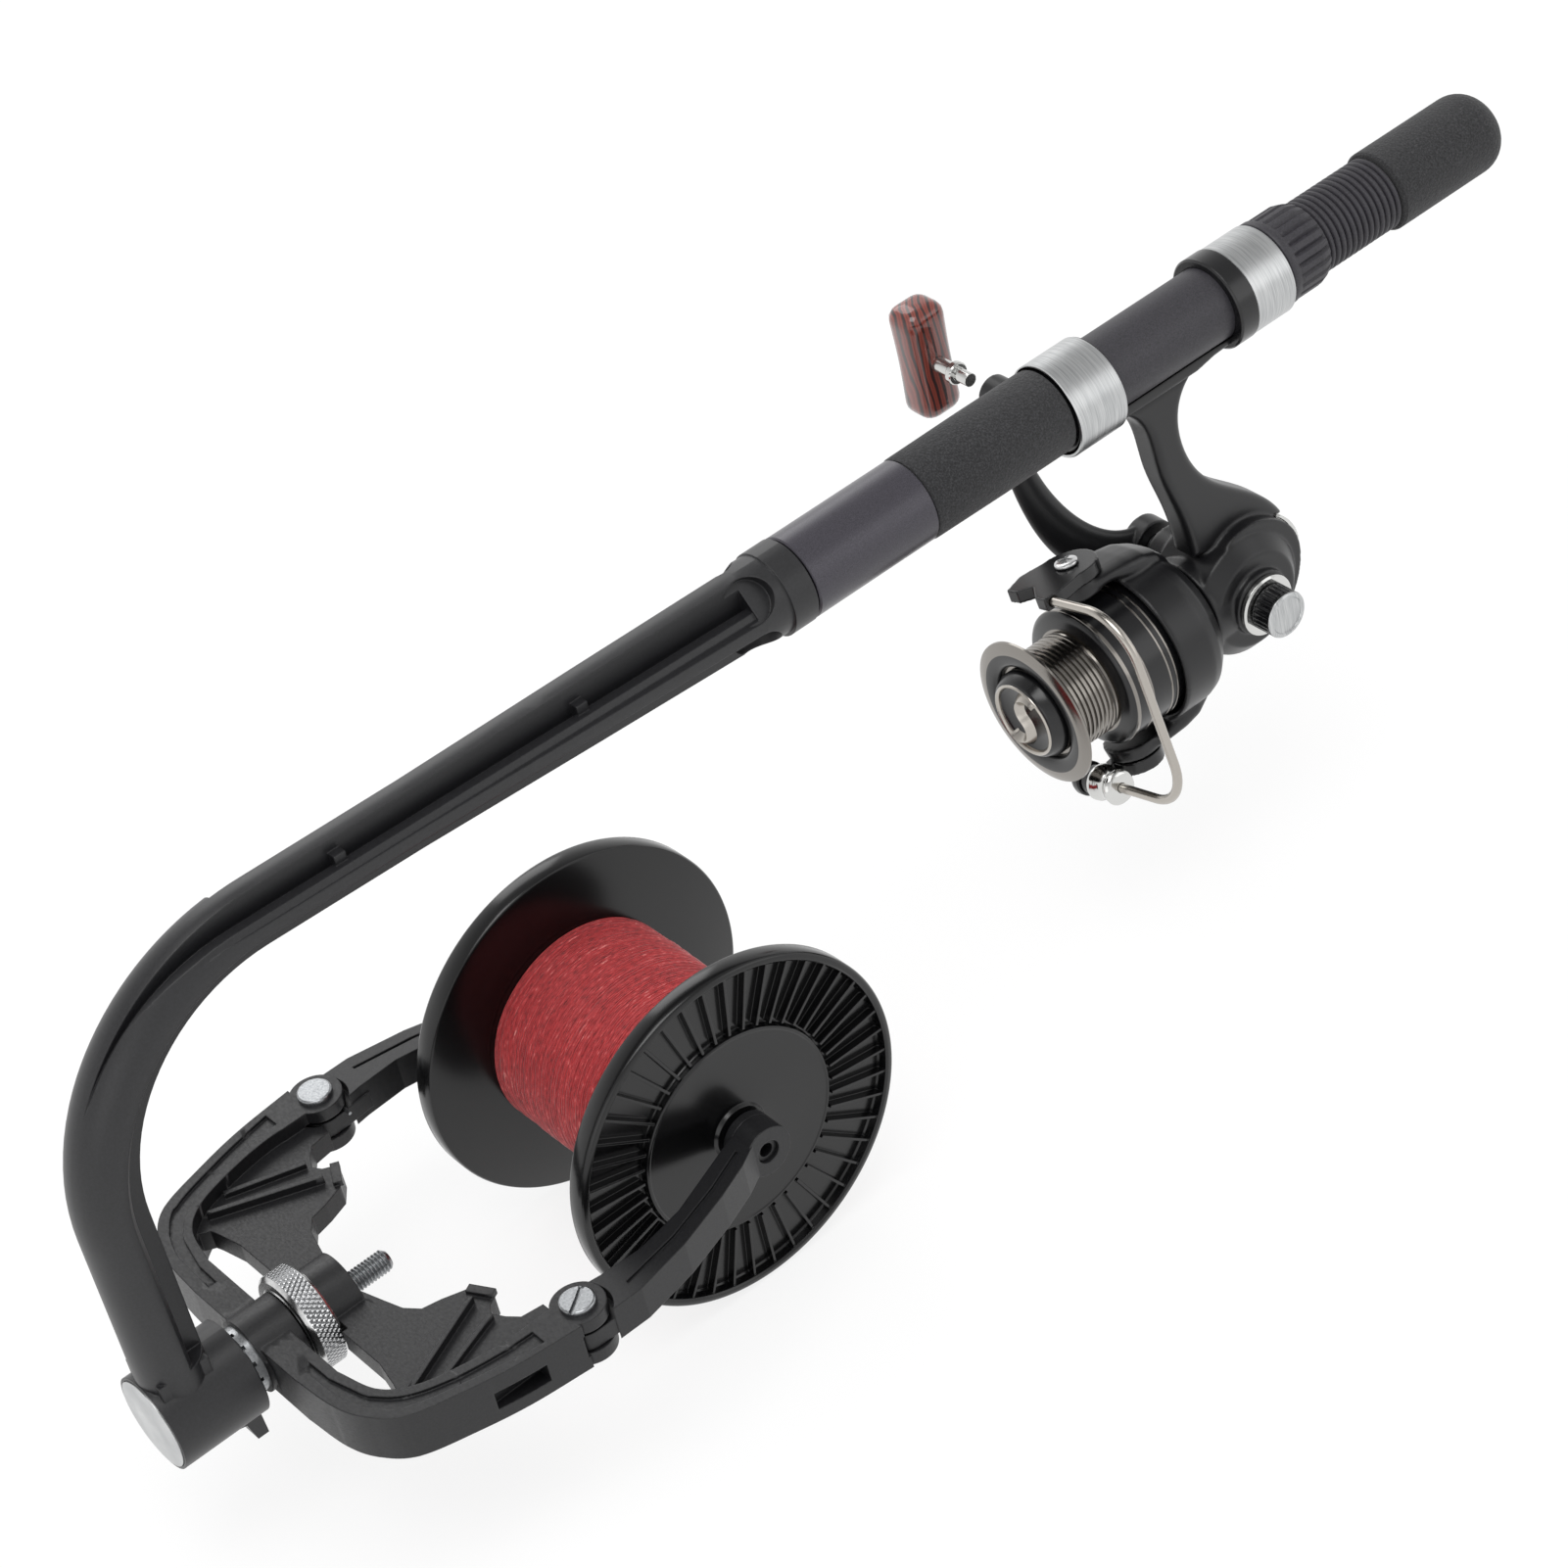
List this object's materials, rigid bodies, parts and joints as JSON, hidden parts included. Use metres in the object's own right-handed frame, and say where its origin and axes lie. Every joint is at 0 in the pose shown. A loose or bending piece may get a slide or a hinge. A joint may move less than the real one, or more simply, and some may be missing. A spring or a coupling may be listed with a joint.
{
  "type": "fishing line winder",
  "caption": "J-shaped hand winder: a swivelling bracket holds a bulk line spool on sprung arms, and a spinning reel clamps in the seat on the grip.",
  "frame": {"origin": "on the grip tube's axis, at the front end of the rear grip", "axes": "+X along the tube to the butt, +Y to the reel's crank side, +Z away from the reel"},
  "size_m": [0.4681, 0.145, 0.1733],
  "materials": {
    "arm_paint": "black satin enamel on a cast arm",
    "end_disc": "turned",
    "bolt_steel": "zinc plated, rolled thread",
    "sleeve_paint": "dark metallic lacquer",
    "grip_foam": "matt closed-cell foam",
    "ring_silver": "brushed",
    "seat_plastic": "moulded",
    "bracket_plastic": "moulded, semi-gloss",
    "nut_steel": "bright, knurled",
    "spool_plastic": "moulded, glossy",
    "line_red": "braided line",
    "reel_black": "black enamel",
    "reel_bright": "plated",
    "cap_silver": "spun face",
    "bail_black": "moulded",
    "bail_steel": "polished wire",
    "spool_metal": "anodised, turned",
    "knob_wood": "laminated, lacquered"
  },
  "bodies": {
    "frame": {"arm_frame": "arm_paint", "end_cap": "end_disc", "clamp_bolt": "bolt_steel", "wave_washer": "bolt_steel", "detent_washer": "bolt_steel", "handle_tube": "sleeve_paint", "fore_grip": "grip_foam", "front_ring": "ring_silver", "seat_body": "seat_plastic", "rear_grip": "grip_foam", "reel_body": "reel_black", "rear_plate": "reel_bright", "cap_ring": "reel_bright", "side_cap": "cap_silver"},
    "hood": {"movable_hood": "seat_plastic", "rear_ring": "ring_silver"},
    "hood_nut": {"seat_nut": "seat_plastic"},
    "swivel_bracket": {"bracket": "bracket_plastic", "arm_pins": "bolt_steel", "near_spring": "bolt_steel", "far_spring": "bolt_steel"},
    "swivel_nut": {"lock_nut": "nut_steel"},
    "near_swing_arm": {"near_arm": "bracket_plastic", "near_cone": "bracket_plastic"},
    "far_swing_arm": {"far_arm": "bracket_plastic", "far_cone": "bracket_plastic"},
    "bulk_spool": {"line_spool": "spool_plastic", "line_core": "line_red", "line_winding": "line_red"},
    "crank": {"crank_shaft": "bolt_steel", "crank_arm": "reel_black", "knob_shaft": "reel_bright"},
    "crank_handle": {"crank_knob": "knob_wood"},
    "reel_rotor": {"rotor": "reel_black", "bail_screws": "bolt_steel"},
    "bail": {"bail_arm": "bail_black", "roller_arm": "bail_black", "bail_wire": "bail_steel", "roller_cap": "bail_black"},
    "guide_roller": {"line_roller": "reel_bright"},
    "oscillator": {"main_shaft": "bolt_steel"},
    "spool_group": {"reel_spool": "spool_metal", "spool_lip": "reel_bright"},
    "drag": {"drag_knob": "bail_black"}
  },
  "joints": [
    {"name": "hood_slide", "type": "slide", "parent": "frame", "child": "hood", "axis": [1, 0, 0], "range_m": [0, 0.012]},
    {"name": "seat_nut_turn", "type": "hinge", "parent": "hood", "child": "hood_nut", "pos_m": [-0.034, 0, 0], "axis": [1, 0, 0], "range_deg": [0, 1870]},
    {"name": "bracket_swivel", "type": "hinge", "parent": "frame", "child": "swivel_bracket", "pos_m": [-0.3999, 0, -0.1105], "axis": [1, 0, 0], "range_deg": [-90, 90]},
    {"name": "lock_nut_turn", "type": "hinge", "parent": "swivel_bracket", "child": "swivel_nut", "pos_m": [-0.3839, 0, -0.1105], "axis": [1, 0, 0], "range_deg": [0, 180]},
    {"name": "near_arm_swing", "type": "hinge", "parent": "swivel_bracket", "child": "near_swing_arm", "pos_m": [-0.3389, -0.0555, -0.1105], "axis": [0, 0, -1], "range_deg": [0, 40], "stiffness_Nm_per_rad": 0.12, "springref_deg": -34.38},
    {"name": "far_arm_swing", "type": "hinge", "parent": "swivel_bracket", "child": "far_swing_arm", "pos_m": [-0.3389, 0.0555, -0.1105], "axis": [0, 0, 1], "range_deg": [0, 40], "stiffness_Nm_per_rad": 0.12, "springref_deg": -34.38},
    {"name": "bulk_spool_spin", "type": "hinge", "parent": "swivel_bracket", "child": "bulk_spool", "pos_m": [-0.2732, 0, -0.1105], "axis": [0, 1, 0], "continuous": true},
    {"name": "crank_turn", "type": "hinge", "parent": "frame", "child": "crank", "pos_m": [-0.07, 0.026, -0.084], "axis": [0, -1, 0], "continuous": true},
    {"name": "knob_spin", "type": "hinge", "parent": "crank", "child": "crank_handle", "pos_m": [-0.0965, 0.077, -0.027], "axis": [0, 1, 0], "continuous": true},
    {"name": "rotor_spin", "type": "hinge", "parent": "frame", "child": "reel_rotor", "pos_m": [-0.1045, 0, -0.084], "axis": [-1, 0, 0], "continuous": true},
    {"name": "bail_flip", "type": "hinge", "parent": "reel_rotor", "child": "bail", "pos_m": [-0.1135, 0, -0.084], "axis": [0, -0.2588, -0.9659], "range_deg": [0, 90]},
    {"name": "line_roller_spin", "type": "hinge", "parent": "bail", "child": "guide_roller", "pos_m": [-0.1265, -0.01127, -0.11059], "axis": [0, 0.9659, -0.2588], "continuous": true},
    {"name": "spool_oscillate", "type": "slide", "parent": "frame", "child": "oscillator", "axis": [1, 0, 0], "range_m": [0, 0.008]},
    {"name": "spool_slip", "type": "hinge", "parent": "oscillator", "child": "spool_group", "pos_m": [-0.1265, 0, -0.084], "axis": [1, 0, 0], "continuous": true},
    {"name": "drag_turn", "type": "hinge", "parent": "oscillator", "child": "drag", "pos_m": [-0.1405, 0, -0.084], "axis": [1, 0, 0], "range_deg": [-540, 540]}
  ],
  "couplings": [
    {"joint": "hood_slide", "follows": "seat_nut_turn", "m_per_rad": 0.00036606},
    {"joint": "rotor_spin", "follows": "crank_turn", "ratio": 5.2}
  ]
}
